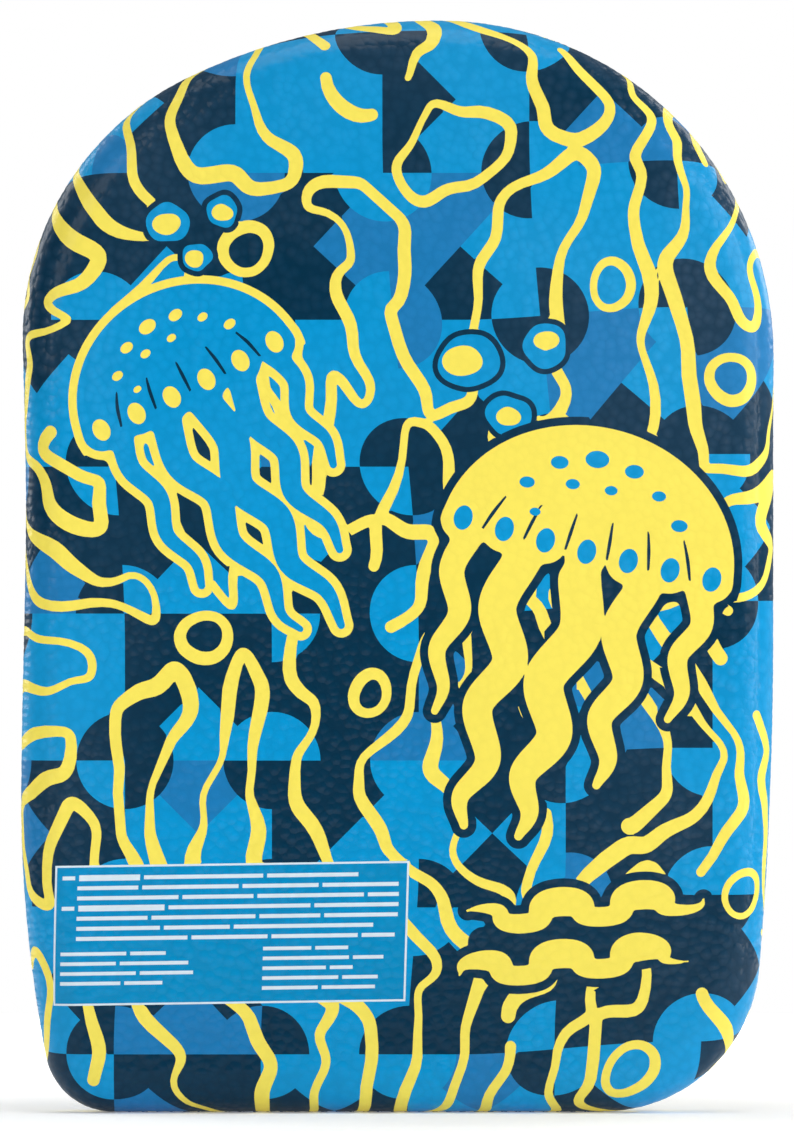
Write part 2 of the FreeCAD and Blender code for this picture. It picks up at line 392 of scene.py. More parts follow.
def ring_points(x, z, half_width, half_height, thickness, tilt, seed=0):
    """A hand-drawn ring, a little uneven in both its shape and its line."""
    angles = np.linspace(0, TURN, 12, endpoint=False)
    wobble = 1 + 0.035 * np.sin(2 * angles + seed) + 0.03 * np.sin(3 * angles + 2.1 * seed)
    across, up = half_width * wobble * np.cos(angles), half_height * wobble * np.sin(angles)
    lean = math.radians(tilt)
    widths = thickness * (1 + 0.16 * np.sin(angles + 1.3 * seed))
    turned_x = x + across * math.cos(lean) - up * math.sin(lean)
    turned_z = z + across * math.sin(lean) + up * math.cos(lean)
    return np.stack([turned_x, turned_z, widths], 1)


class Cloth:
    """A grid over the flat cloth that fields are drawn on. A field is negative inside its shape."""

    CELL = 0.8

    def __init__(self):
        margin = REACH - EDGE_RADIUS + 3
        self.x = np.arange(-HALF_WIDTH - margin, HALF_WIDTH + margin, self.CELL)
        self.z = np.arange(-margin, LENGTH + margin, self.CELL)
        self.shape = (len(self.z), len(self.x))

    def blank(self):
        return np.full(self.shape, 1e3)

    def points(self, rows=slice(None), columns=slice(None)):
        x, z = np.meshgrid(self.x[columns], self.z[rows])
        return np.stack([x, z], -1)

    def stroke(self, field, line):
        """Add a line of varying width: columns x, z, width, already smooth."""
        reach = line[:, 2].max() / 2 + 4
        columns = slice(*np.searchsorted(self.x, [line[:, 0].min() - reach, line[:, 0].max() + reach]))
        rows = slice(*np.searchsorted(self.z, [line[:, 1].min() - reach, line[:, 1].max() + reach]))
        points = self.points(rows, columns)
        if points.size == 0:
            return
        flat = points.reshape(-1, 2)
        best = np.full(len(flat), 1e3)
        for a, b in zip(line, line[1:]):
            run = b[:2] - a[:2]
            size = run @ run
            if size < 1e-9:
                continue
            middle, around = (a[:2] + b[:2]) / 2, math.sqrt(size) / 2 + reach
            near = np.flatnonzero((np.abs(flat - middle) < around).all(1))
            away = flat[near] - a[:2]
            t = np.clip(away @ run / size, 0, 1)
            gap = np.hypot(*(away - t[:, None] * run).T) - (a[2] + t * (b[2] - a[2])) / 2
            best[near] = np.minimum(best[near], gap)
        field[rows, columns] = np.minimum(field[rows, columns], best.reshape(points.shape[:2]))

    def sample(self, field, points):
        """The field at any points, between its grid nodes."""
        column = np.clip((points[:, 0] - self.x[0]) / self.CELL, 0, len(self.x) - 1.001)
        row = np.clip((points[:, 1] - self.z[0]) / self.CELL, 0, len(self.z) - 1.001)
        c, r = column.astype(int), row.astype(int)
        u, v = column - c, row - r
        lower = field[r, c] * (1 - u) + field[r, c + 1] * u
        upper = field[r + 1, c] * (1 - u) + field[r + 1, c + 1] * u
        return lower * (1 - v) + upper * v


cloth = Cloth()


# ---------------------------------------------------------------- shapes on the cloth


def oval(points, x, z, half_width, half_height, tilt=0.0):
    """About how far each point lies outside an oval."""
    lean = math.radians(tilt)
    dx, dz = points[..., 0] - x, points[..., 1] - z
    a = (dx * math.cos(lean) + dz * math.sin(lean)) / half_width
    b = (dz * math.cos(lean) - dx * math.sin(lean)) / half_height
    size, slope = np.hypot(a, b), np.hypot(a / half_width, b / half_height)
    return size * (size - 1) / np.maximum(slope, 1e-6)


def blend(a, b, soften=2.0):
    """The union of two fields, with their corner filled in."""
    h = np.clip(0.5 + 0.5 * (b - a) / soften, 0, 1)
    return b * (1 - h) + a * h - soften * h * (1 - h)


TURNED = np.array([0.0, 428.0])  # the back's patchwork is the front's, half a turn round

# jellyfish: place, half width and half height of its bell, lean in degrees, and its arms
BLUE_JELLY = dict(
    place=(-84, 290), bell=(46, 36), lean=27, scallops=6,
    arms=[
        [(-32, -8, 9), (-35, -22, 8), (-30, -37, 7), (-34, -52, 6), (-29, -66, 4.6), (-31, -76, 3)],
        [(-14, -12, 12), (-17, -30, 11), (-9, -47, 10), (-13, -66, 9), (-5, -84, 7), (-8, -100, 4),
         (-4, -109, 2.4)],
        [(3, -12, 13), (6, -30, 13), (0, -48, 12), (8, -66, 11), (4, -84, 9), (12, -100, 6), (11, -115, 3)],
        [(20, -10, 11), (17, -28, 10), (23, -44, 9), (18, -60, 8), (25, -76, 5.5), (24, -88, 3)],
        [(35, -6, 8), (39, -20, 7), (34, -33, 6), (39, -46, 4.6), (37, -57, 3)],
    ],
)
YELLOW_JELLY = dict(
    place=(76, 226), bell=(59, 45), lean=-14, scallops=7,
    arms=[
        [(-46, -8, 11), (-50, -24, 10), (-43, -40, 9), (-48, -56, 7), (-42, -70, 5), (-43, -80, 3)],
        [(-24, -14, 15), (-29, -34, 15), (-19, -54, 14), (-27, -74, 12), (-18, -94, 10), (-25, -110, 7),
         (-21, -121, 3.4)],
        [(0, -16, 17), (5, -36, 17), (-4, -58, 16), (5, -78, 14), (-3, -96, 11), (3, -110, 7),
         (1, -120, 3.4)],
        [(25, -14, 14), (20, -32, 14), (28, -50, 12), (21, -67, 10), (28, -82, 7), (26, -93, 3.4)],
        [(46, -8, 10), (51, -22, 9), (45, -36, 8), (50, -50, 6), (47, -61, 3)],
    ],
)
BELL_SPOTS = [  # x, height and half width of each, on a bell 100 wide
    (-16, 23, 3.0), (-4, 27, 4.0), (9, 26, 3.2), (-25, 14, 2.6), (-10, 17, 2.4), (3, 18, 2.2), (19, 20, 2.4),
    (28, 12, 2.8), (-20, 5, 1.9),
]


def jelly(motif):
    """A faceless jellyfish: the fields of its body, of the spots on its bell, and of the ribs under it."""
    lean = math.radians(motif["lean"])
    across = np.array([math.cos(lean), math.sin(lean)])
    up = np.array([-math.sin(lean), math.cos(lean)])
    away = cloth.points() - motif["place"]
    local = np.stack([away @ across, away @ up], -1)
    half_width, half_height = motif["bell"]
    dome = np.maximum(oval(local, 0, -6, half_width, half_height + 6), -6 - local[..., 1])
    count = motif["scallops"]
    size = half_width / count
    for k in range(count):
        x = (2 * k + 1 - count) * size
        dome = blend(dome, oval(local, x, -5.5 + 1.5 * abs(x) / half_width, size * 1.02, size * 0.98), 0.6)

    def placed(line):
        line = spline(line)
        line[:, :2] = motif["place"] + line[:, :1] * across + line[:, 1:2] * up
        return line

    arms = cloth.blank()
    for arm in motif["arms"]:
        cloth.stroke(arms, placed(arm))
    body = blend(dome, arms, 2.5)
    spots = cloth.blank()
    for x, y, wide in BELL_SPOTS:
        scale = half_width / 50
        spots = np.minimum(spots, oval(local, x * scale, y * scale, wide * scale, wide * 0.72 * scale, 10))
    for k in range(count):
        x = (2 * k + 1 - count) * size
        spots = np.minimum(spots, oval(local, x, -4.5 + 1.5 * abs(x) / half_width, size * 0.44, size * 0.58))
    ribs = cloth.blank()
    for k in range(1, count):
        x = (2 * k - count) * size
        rib = [(x, -5.5, 1.0), (x * 0.94, 1.5, 1.4), (x * 0.86, half_height * 0.2, 0.8)]
        cloth.stroke(ribs, placed(rib))
    return body, spots, ribs


# one printed colour: a test of whether points are in it, and the lines round it
Layer = collections.namedtuple("Layer", "ink inside lines")


def contours(field):
    """The closed or open lines where a field is zero."""
    sign = field < 0

    def crossing(edge):
        row, column, flat = edge
        other = (row, column + 1) if flat else (row + 1, column)
        a, b = field[row, column], field[other]
        t = min(max(a / (a - b), 0.02), 0.98)
        x, z = cloth.x[column], cloth.z[row]
        return (x + t * cloth.CELL, z) if flat else (x, z + t * cloth.CELL)

    mixed = sign[:-1, :-1].astype(int) + sign[:-1, 1:] + sign[1:, :-1] + sign[1:, 1:]
    links = {}
    for row, column in np.argwhere((mixed > 0) & (mixed < 4)).tolist():
        a, b = sign[row, column : column + 2]
        d, c = sign[row + 1, column : column + 2]
        bottom, top = (row, column, True), (row + 1, column, True)
        left, right = (row, column, False), (row, column + 1, False)
        sides = ((bottom, a, b), (right, b, c), (top, d, c), (left, a, d))
        pairs = [tuple(edge for edge, one, two in sides if one != two)]
        if len(pairs[0]) == 4:
            middle = field[row : row + 2, column : column + 2].mean() < 0
            pairs = [(bottom, right), (top, left)] if middle == a else [(bottom, left), (top, right)]
        for one, two in pairs:
            links.setdefault(one, []).append(two)
            links.setdefault(two, []).append(one)
    lines = []
    while links:
        start = next((e for e, near in links.items() if len(near) == 1), None) or next(iter(links))
        walk, here = [start], start
        while links.get(here):
            following = links[here].pop()
            links[following].remove(here)
            if not links[here]:
                del links[here]
            here = following
            walk.append(here)
            if here == start:
                break
        if here in links and not links[here]:
            del links[here]
        lines.append(np.array([crossing(e) for e in walk]))
    return lines


def thin_out(line, slack=0.045):
    """Fewer points on a line, none of them further than slack from where it was, and no long steps."""
    keep = np.zeros(len(line), bool)
    keep[[0, -1]] = True
    stack = [(0, len(line) // 2), (len(line) // 2, len(line) - 1)]
    keep[len(line) // 2] = True
    while stack:
        a, b = stack.pop()
        if b - a < 2:
            continue
        run = line[b] - line[a]
        size = max(np.hypot(*run), 1e-9)
        away = line[a + 1 : b] - line[a]
        gap = np.abs(away[:, 0] * run[1] - away[:, 1] * run[0]) / size
        worst = int(gap.argmax())
        if gap[worst] > slack:
            middle = a + 1 + worst
            keep[middle] = True
            stack += [(a, middle), (middle, b)]
    return line[keep]


def divided(line):
    """A line with no long steps: short ones round the edge, longer ones on the flat face."""
    found = [line[:1]]
    out = locate(line)[2]
    for a, b, one, two in zip(line, line[1:], out, out[1:]):
        furthest = 1.6 if max(one, two) > -3 else 6.0
        count = max(1, math.ceil(np.hypot(*(b - a)) / furthest))
        found.append(a + (b - a) * np.linspace(0, 1, count + 1)[1:, None])
    return np.vstack(found)


def field_layer(ink, field):
    lines = [divided(thin_out(line)) for line in contours(field) if len(line) > 5]
    return Layer(ink, lambda points: cloth.sample(field, points) < 0, lines)


PANEL = np.array([-136.5, 42.2])  # its lower left corner
PANEL_SIZE = (139.8, 55.4)
PANEL_AXES = np.array([[139.8, 2.0], [1.6, 55.4]]) / np.array(PANEL_SIZE)[:, None]  # it is a little askew
BORDER = 0.8


def panel_bars():
    """Plain bars on the panel, as (left, right, height, thickness) in the panel's own frame."""
    rows = [
        (3, [5, 24, 47, 36]), (9, [24, 38, 30, 30]), (9, [40, 28, 42, 13]), (3, [5, 34, 56, 34]),
        (9, [28, 41, 24, 29]), (9, [33, 26, 55]), (9, [44, 30, 34, 13]),
    ]
    bars = []
    for k, (x, runs) in enumerate(rows):
        for place, run in enumerate(runs):
            heavy = k in (0, 3) and place == 1
            bars.append((x, min(x + run, 136), 50.4 - 4.0 * k, 2.3 if heavy else 1.55))
            x += run + 1.6
    columns = (
        (3, 20.4, ((26, 14), (22, 27), (30, 21), (24, 15))),
        (83, 21.6, ((19, 13), (34, 12), (25, 9), (30, 14), (22, 21))),
    )
    for x, top, rows in columns:
        for k, (wide, narrow) in enumerate(rows):
            z, then = top - 3.9 * k, x + wide + 1.6
            bars += [(x, x + wide, z, 1.4), (then, then + narrow, z, 1.4)]
    return bars


def rectangle(left, right, bottom, top):
    corners = np.array([(left, bottom), (right, bottom), (right, top), (left, top), (left, bottom)], float)
    return divided(PANEL + corners @ PANEL_AXES)


def within(u, v, left, right, bottom, top):
    return (u > left) & (u < right) & (v > bottom) & (v < top)


def panel_layers():
    """A plain light panel with a pale border and rows of plain bars in place of any words."""
    wide, tall = PANEL_SIZE
    whole, inner = (0, wide, 0, tall), (BORDER, wide - BORDER, BORDER, tall - BORDER)
    bars = [(left, right, z - thick / 2, z + thick / 2) for left, right, z, thick in panel_bars()]

    def on_panel(points):
        return ((points - PANEL) @ np.linalg.inv(PANEL_AXES)).T

    def in_white(points):
        place = on_panel(points)
        white = within(*place, *whole) & ~within(*place, *inner)
        for bar in bars:
            white |= within(*place, *bar)
        return white

    def in_panel(points):
        return within(*on_panel(points), *whole)

    lines = [rectangle(*box) for box in [whole, inner] + bars]
    return [Layer(WHITE, in_white, lines), Layer(PANEL_BLUE, in_panel, [])]


WAVE = 32.0  # from crest to crest
WAVES = [
    # the plain wave mark's rolling lines, one above the other: left end, right end, middle height, width
    (30, 121, 80.5, 9.6),
    (23, 114, 60.0, 9.6),
]
BETWEEN_WAVES = [(34.0, 67.5, 12.0), (73.0, 71.0, 15.0), (112.0, 74.0, 12.0)]


def wave_mark():
    """Two rows of waves, and the dark ground behind them."""
    field = cloth.blank()
    for left, right, middle, width in WAVES:
        t = np.linspace(0, 1, 140)
        x = left + (right - left) * t
        turn = TURN * (x - 25) / WAVE
        taper = np.clip(np.minimum(t, 1 - t) * 5, 0.04, 1) ** 0.75
        z = middle + 0.085 * (x - 73) + 3.7 * np.sin(turn)
        widths = width * taper * (1 + 0.2 * np.sin(turn))
        cloth.stroke(field, np.stack([x - 2.4 * np.sin(2 * turn), z, widths], 1))
    ground = field - 3.4
    cloth.stroke(ground, np.array(BETWEEN_WAVES))
    return field, ground


def swell(points, seed, shortest, longest, spread=None, count=12):
    """A sum of seeded waves, about 1 high. With a spread, their crests run mostly up the board."""
    random = np.random.default_rng(seed)
    total = np.zeros(points.shape[:-1])
    for _ in range(count):
        heading = random.normal(0, spread) if spread else random.uniform(0, TURN)
        along = points @ np.array([math.cos(heading), math.sin(heading)])
        total += np.cos(TURN * along / random.uniform(shortest, longest) + random.uniform(0, TURN))
    return total / math.sqrt(count / 2)


def frond_field(seed, rings):
    """A wavy field. Fronds grow where it changes sign, so they wander like coral and don't cross."""
    points = cloth.points()
    moved = points + np.stack([FROND_LEAN * points[..., 1], np.zeros(cloth.shape)], -1)
    for first, sizes, waves in ((1, SWAY, SWAY_WAVES), (3, SHAKE, SHAKE_WAVES)):
        aside = [size * swell(points, seed + first + k, *waves) for k, size in enumerate(sizes)]
        moved += np.stack(aside, -1)
    field = swell(moved, seed, *FROND_WAVES, spread=0.6, count=16)
    for x, z, half_width, *_ in rings:
        side = 1 if cloth.sample(field, np.array([[x, z]]))[0] > 0 else -1
        away = np.hypot(points[..., 0] - x, points[..., 1] - z) / (half_width + RING_ROOM)
        field = field + side * 3.2 * np.exp(-(away**2))
    return field


def draw_fronds(seed, rings):
    """Yellow fronds and rings. The fronds' width varies, and here and there they break off."""
    drawn = cloth.blank()
    for line in contours(frond_field(seed, rings)):
        if len(line) < SHORTEST_FROND / cloth.CELL:
            continue
        line = thin_out(line, 0.12)
        width = FROND_WIDTH * (1 + FROND_UNEVEN * swell(line, seed + 5, *WIDTH_WAVES))
        line = np.column_stack([line, np.clip(width, 2.6, 7.2)])
        broken = swell(line[:, :2], seed + 6, *BREAK_WAVES) > BREAK_ABOVE
        cuts = np.flatnonzero(broken[1:] != broken[:-1]) + 1
        for piece, gone in zip(np.split(line, cuts), np.split(broken, cuts)):
            length = np.hypot(*np.diff(piece[:, :2], axis=0).T).sum()
            if gone[0] or length < SHORTEST_PIECE:
                continue
            for k in range(len(piece) - 1):
                cloth.stroke(drawn, piece[k : k + 2])
    for count, ring in enumerate(rings):
        cloth.stroke(drawn, spline(ring_points(*ring, seed=count), closed=True))
    return drawn


def bubble_layers(bubbles):
    points = cloth.points()
    blue = spot = outline = cloth.blank()
    for k, (disc, blob) in enumerate(bubbles):
        turn = np.arctan2(points[..., 1] - disc[1], points[..., 0] - disc[0])
        around = oval(points, *disc, 12 * math.sin(5 * k + 1))
        around = around + 0.3 * np.sin(3 * turn + 2.0 * k) + 0.22 * np.sin(5 * turn + k)
        blue = np.minimum(blue, around)
        outline = np.minimum(outline, around - 2.1)
        light = oval(points, *blob, 20 * math.sin(3 * k)) + 0.16 * np.sin(3 * turn + 3.0 * k)
        spot = np.minimum(spot, light)
    return [field_layer(YELLOW, spot), field_layer(LIGHT, blue), field_layer(NAVY, outline)]


def jelly_layers(motif, body_ink, spot_ink, edge_ink):
    body, spots, ribs = jelly(motif)
    layers = [field_layer(spot_ink, spots), field_layer(NAVY, np.maximum(ribs, body))]
    return layers + [field_layer(body_ink, body), field_layer(edge_ink, body - 3.3)]


BACK_BUBBLES = [
    ((-28, 88, 12.0, 10.5), (-30, 88.5, 7.6, 6.0)),
    ((-56, 99, 8.4, 9.0), (-55.5, 100.5, 5.0, 3.8)),
    ((-43, 66, 9.0, 7.6), (-43, 65.5, 4.9, 3.7)),
    ((62, 312, 9.0, 8.0), (61.5, 312.5, 5.7, 4.2)),
    ((84, 322, 6.4, 6.4), (84, 321.5, 4.3, 3.3)),
    ((78, 299, 6.2, 5.4), (77, 298.4, 3.7, 3.5)),
]
BACK_JELLIES = (
    dict(YELLOW_JELLY, place=(66, 168), lean=16),
    dict(BLUE_JELLY, place=(-66, 246), lean=-22),
)
BACK_RINGS = [
    (-104, 344, 8.6, 8.0, 4.2, 20),
    (-26, 388, 8.0, 7.2, 3.8, 0),
    (8, 338, 7.6, 8.4, 3.8, -20),
    (112, 262, 8.4, 7.6, 4.2, 30),
    (4, 254, 8.2, 8.8, 4.2, 10),
    (-112, 128, 7.0, 7.6, 3.6, 0),
    (-84, 62, 8.8, 8.2, 4.0, 15),
    (18, 38, 7.4, 8.6, 3.8, -30),
]


def front_layers():
    mark, ground = wave_mark()
    layers = panel_layers() + [field_layer(YELLOW, mark), field_layer(NAVY, ground)]
    layers += jelly_layers(YELLOW_JELLY, YELLOW, LIGHT, NAVY) + bubble_layers(BUBBLES)
    layers += jelly_layers(BLUE_JELLY, LIGHT, YELLOW, YELLOW)
    return layers + [field_layer(YELLOW, draw_fronds(FRONT_SEED, RINGS))]


def back_layers():
    layers = jelly_layers(BACK_JELLIES[0], YELLOW, LIGHT, NAVY)
    layers += jelly_layers(BACK_JELLIES[1], LIGHT, YELLOW, YELLOW)
    fronds = draw_fronds(BACK_SEED, BACK_RINGS)
    return layers + bubble_layers(BACK_BUBBLES) + [field_layer(YELLOW, fronds)]


def ink_at(points, layers, turned=False):
    """Which ink is on top at each point."""
    inks = np.full(len(points), -1)
    for layer in layers:
        bare = np.flatnonzero(inks < 0)
        inks[bare[layer.inside(points[bare])]] = layer.ink
    bare = np.flatnonzero(inks < 0)
    inks[bare] = patch_ink(TURNED - points[bare] if turned else points[bare])
    return inks


# ---------------------------------------------------------------- cloth panels as meshes

ROWS = [  # how far in from the seam each row of points lies, and how far apart its points are
    (0.45, 0.62), (1.0, 0.66), (1.7, 0.75), (2.6, 0.9), (3.7, 1.1), (5.1, 1.35), (6.9, 1.7), (9.1, 2.0),
    (11.7, 2.4), (14.6, 2.8), (17.8, 3.2), (21.3, 3.6), (25.0, 3.8), (28.7, 4.0), (32.5, 4.2),
]
FLAT_STEP, SEAM_STEP, FOAM_STEP = 4.4, 0.6, 1.3
SEAM_LONGER = 1.05  # the flat cloth's rim is about this much longer than the board's outline
CLEAR = 0.34  # from a printed line to the nearest other point
LINING_LIFT, FOAM_DROP = 0.1, 0.05  # the lining lies above the cover's inner side, and the foam below it


def seam_points():
    count = int(PERIMETER * SEAM_LONGER / SEAM_STEP)
    s = np.linspace(0, PERIMETER, count, endpoint=False)
    return outline_point(s, np.full(count, REACH))


def filling_points():
    """Points that carry the shape: rows that follow the outline, and a grid in the middle."""
    found = []
    for inward, step in ROWS:
        count = int(PERIMETER / step)
        s = (np.arange(count) + 0.5) * PERIMETER / count
        found.append(outline_point(s, np.full(count, REACH - inward)))
    x, z = np.meshgrid(np.arange(-HALF_WIDTH, HALF_WIDTH, FLAT_STEP), np.arange(0, LENGTH, FLAT_STEP))
    x = x + (np.arange(len(x)) % 2)[:, None] * FLAT_STEP / 2
    grid = np.stack([x.ravel(), z.ravel()], 1)
    found.append(grid[locate(grid)[2] < REACH - ROWS[-1][0] - 2.5])
    return np.vstack(found)


def clear_of(points, others, gap):
    """Those of the points that lie clear of the others."""
    tree = mathutils.kdtree.KDTree(len(others))
    for k, (x, z) in enumerate(others):
        tree.insert((x, z, 0), k)
    tree.balance()
    far = np.array([tree.find((x, z, 0))[2] for x, z in points])
    return points[far > gap]


def shown(line, gap, layers, turned, above=()):
    """The steps of a line that part two inks, and that no layer above hides."""
    run = line[1:] - line[:-1]
    middle = (line[1:] + line[:-1]) / 2
    aside = np.stack([-run[:, 1], run[:, 0]], 1) * gap / np.maximum(np.hypot(*run.T), 1e-9)[:, None]
    seen = locate(middle)[2] < REACH - 0.1
    for upper in above:
        seen &= ~upper.inside(middle)
    seen &= ink_at(middle + aside, layers, turned) != ink_at(middle - aside, layers, turned)
    return [line[k : k + 2] for k in np.flatnonzero(seen)]


def visible_lines(layers, turned):
    """Every printed outline that shows, as short steps on the cloth."""
    found = []
    for depth, layer in enumerate(layers):
        for line in layer.lines:
            found += shown(line, 0.15, layers, turned, layers[:depth])
    for line in patch_lines():
        line = printed(line)
        found += shown(divided(TURNED - line if turned else line), 0.12, layers, turned)
    return found


def joined(segments, grain=0.02):
    """Segments as points and the edges between them, with shared ends counted once."""
    ends = np.concatenate(segments).reshape(-1, 2)
    keys = np.round(ends / grain).astype(np.int64)
    _, first, place = np.unique(keys, axis=0, return_index=True, return_inverse=True)
    edges = place.reshape(-1, 2)
    return ends[first], edges[edges[:, 0] != edges[:, 1]]


def triangulate(points, edges):
    """Flat triangles through all the points, with these edges among theirs."""
    corners = [mathutils.Vector(p) for p in points.tolist()]
    found = mathutils.geometry.delaunay_2d_cdt(corners, edges.tolist(), [], 0, 1e-4, False)
    triangles = [f for f in found[2] if len(f) == 3]
    return np.array([tuple(v) for v in found[0]]), np.array(triangles)


def areas(points, triangles):
    """Each flat triangle's area, negative where it runs clockwise."""
    a, b, c = (points[triangles[:, k]] for k in range(3))
    return ((b[:, 0] - a[:, 0]) * (c[:, 1] - a[:, 1]) - (b[:, 1] - a[:, 1]) * (c[:, 0] - a[:, 0])) / 2


def anticlockwise(points, triangles):
    """The triangles, all wound the same way."""
    clockwise = areas(points, triangles) < 0
    triangles[clockwise] = triangles[clockwise][:, ::-1]
    return triangles


def ring_edges(count):
    return np.stack([np.arange(count), (np.arange(count) + 1) % count], 1)


def panel_print(layers, turned):
    """The printed cloth, flat: its points, its triangles and each triangle's ink."""
    seam = seam_points()
    segments = visible_lines(layers, turned)
    drawn, edges = joined(segments)
    filling = clear_of(filling_points(), np.vstack([drawn, seam]), CLEAR)
    count = len(seam)
    points = np.vstack([seam, drawn, filling])
    points, triangles = triangulate(points, np.vstack([ring_edges(count), edges + count]))
    middle = points[triangles].mean(1)
    keep = (locate(middle)[2] < REACH - 1e-3) & (np.abs(areas(points, triangles)) > 1e-7)
    return points, anticlockwise(points, triangles[keep]), ink_at(middle[keep], layers, turned)


def plain_sheet(rim, every, gap):
    """A plain sheet inside a rim: its points, the rim's first, and its triangles."""
    grid = filling_points()
    grid = grid[locate(grid)[2] < REACH - 2][::every]
    points, triangles = triangulate(np.vstack([rim, clear_of(grid, rim, gap)]), ring_edges(len(rim)))
    inner = locate(points[triangles].mean(1))[2] < REACH - 1e-3
    return points, anticlockwise(points, triangles[inner])


def strip(a, b, c, d):
    """Triangles that join the edges from a to b with those from c to d."""
    return np.vstack([np.stack([b, a, c], 1), np.stack([b, c, d], 1)])


def add_piece(name, places, faces, materials):
    """A smooth mesh object, from places in millimetres."""
    mesh = bpy.data.meshes.new(name)
    mesh.from_pydata((np.asarray(places) * MM).tolist(), [], faces)
    for material in materials:
        mesh.materials.append(material)
    mesh.polygons.foreach_set("use_smooth", np.ones(len(faces), bool))
    mesh.update()
    piece = bpy.data.objects.new(name, mesh)
    bpy.context.scene.collection.objects.link(piece)
    return piece


def rim_loop(triangles):
    """The open edge of a flat mesh, as vertex numbers in order."""
    edges = np.concatenate([triangles[:, [0, 1]], triangles[:, [1, 2]], triangles[:, [2, 0]]])
    following = {}
    both = {(int(a), int(b)) for a, b in edges}
    for a, b in both:
        if (b, a) not in both:
            following[a] = b
    start = next(iter(following))
    loop, here = [start], following[start]
    while here != start:
        loop.append(here)
        here = following[here]
    return np.array(loop)


SEAM_MAP_REACH = 100.0  # the map of the seam goes from 0 to 1 over this distance


def lay_seam_map(mesh, flat, faces):
    """A map of the cloth for its wrinkles: how far along the seam each corner lies, and how far from it."""
    _, _, out, along = locate(flat)
    along = along[faces]
    split = np.ptp(along, axis=1) > PERIMETER / 2
    along[split] += np.where(along[split] < PERIMETER / 2, PERIMETER, 0.0)
    place = np.stack([along / PERIMETER, (REACH - out[faces]) / SEAM_MAP_REACH], -1)
    mesh.uv_layers.new(name="seam").data.foreach_set("uv", place.reshape(-1).astype(np.float32))


def make_cover(name, side, layers, turned=False):
    """One printed panel as a thin closed shell: printed outside, plain inside, and an edge at the seam."""
    flat, triangles, inks = panel_print(layers, turned)
    used, triangles = np.unique(triangles, return_inverse=True)
    flat, triangles = flat[used], triangles.reshape(-1, 3)
    loop = rim_loop(triangles)
    lining, lining_triangles = plain_sheet(flat[loop], 3, 1.0)

    first = len(flat)
    edge = strip(loop, np.roll(loop, -1), *(first + ring_edges(len(loop))).T)
    faces = np.vstack([triangles, (lining_triangles + first)[:, ::-1], edge])
    if side > 0:
        faces = faces[:, ::-1]
    inks = np.concatenate([inks, np.full(len(faces) - len(inks), LINING)])

    places = np.vstack([wrap(flat, side), wrap(lining, side, sink=COVER - LINING_LIFT)])
    piece = add_piece(name, places, faces.tolist(), [ink_materials[key] for key in range(LINING + 1)])
    piece.data.polygons.foreach_set("material_index", inks.astype(np.int32))
    lay_seam_map(piece.data, np.vstack([flat, lining]), faces)
    normals = np.vstack([wrap_normals(flat, side), -wrap_normals(lining, side)])
    piece.data.normals_split_custom_set_from_vertices(normals.tolist())
    piece.data.update()
    flat_area = areas(flat, triangles).sum()
    flat_size = (np.ptp(flat[:, 0]), np.ptp(flat[:, 1]))
    print(f"{name}: {len(faces)} triangles, cut {flat_size[0]:.1f} x {flat_size[1]:.1f} mm")
    return piece


def make_foam():
    """The bead foam under the cloth: one closed form that fills both covers up to the seam."""
    count = int(PERIMETER / FOAM_STEP)
    rim = outline_point(np.arange(count) * PERIMETER / count, np.full(count, REACH))
    flat, triangles = plain_sheet(rim, 2, 1.2)
    first, under = len(flat), COVER + FOAM_DROP
    places = np.vstack([wrap(flat, -1, sink=under), wrap(flat, 1, sink=under)])
    between = strip(*ring_edges(count).T, *(first + ring_edges(count)).T)
    faces = np.vstack([triangles, triangles[:, ::-1] + first, between])
    piece = add_piece("bead_foam_core", places, faces.tolist(), [foam_material()])
    return piece


# ---------------------------------------------------------------- thread


CORD, OVERLOCK, BY_HAND = 0.24, 0.17, 0.24  # radius of each thread
DIP_FROM, DIP = 0.55, 0.45  # where a stitch's ends start to dip into the cloth, and how deep they go
CLOSING = (-108.0, 78.0)  # the hand-closed gap at the tail, left to right
CLOSING_STITCH = 5.4


def tube(path, radii, sides=6, closed=False):
    """Vertices and quads of a tube round a path. path is n by 3."""
    path = np.asarray(path, float)
    ahead = (np.roll(path, -1, 0) - np.roll(path, 1, 0)) if closed else np.gradient(path, axis=0)
    ahead /= np.linalg.norm(ahead, axis=1)[:, None]
    helper = np.where(np.abs(ahead[:, [1]]) < 0.9, [[0.0, 1.0, 0.0]], [[1.0, 0.0, 0.0]])
    one = np.cross(ahead, helper)
    one /= np.linalg.norm(one, axis=1)[:, None]
    two = np.cross(ahead, one)
    angle = np.arange(sides) * TURN / sides
    radii = np.broadcast_to(radii, len(path))[:, None, None]
    across = one[:, None] * np.cos(angle)[None, :, None] + two[:, None] * np.sin(angle)[None, :, None]
    ring = path[:, None] + radii * across
    count = len(path)
    faces = []
    for here, there in (ring_edges(count) * sides)[: count if closed else -1].tolist():
        for j, beside in ring_edges(sides).tolist():
            faces.append([here + j, here + beside, there + beside, there + j])
    if not closed:
        faces += [list(range(sides))[::-1], list(range((count - 1) * sides, count * sides))]
    return ring.reshape(-1, 3), faces


def seam_place(s, y, lift=0.0):
    """Places on the seam: s along the outline, y across it, and how far they stand out."""
    s = np.atleast_1d(s) % PERIMETER
    y = np.broadcast_to(np.asarray(y, float), s.shape)
    silhouette = outline_point(s, np.full(len(s), EDGE_RADIUS))
    _, normal, _, _ = locate(silhouette)
    out = REACH + SEAM_GAP / 2 - np.abs(y)
    stand = np.where(y < 0, stand_off(s, out, 2), stand_off(s, out, 4))
    places = silhouette + normal * (stand + lift)[:, None]
    return np.stack([places[:, 0], y, places[:, 1]], 1)


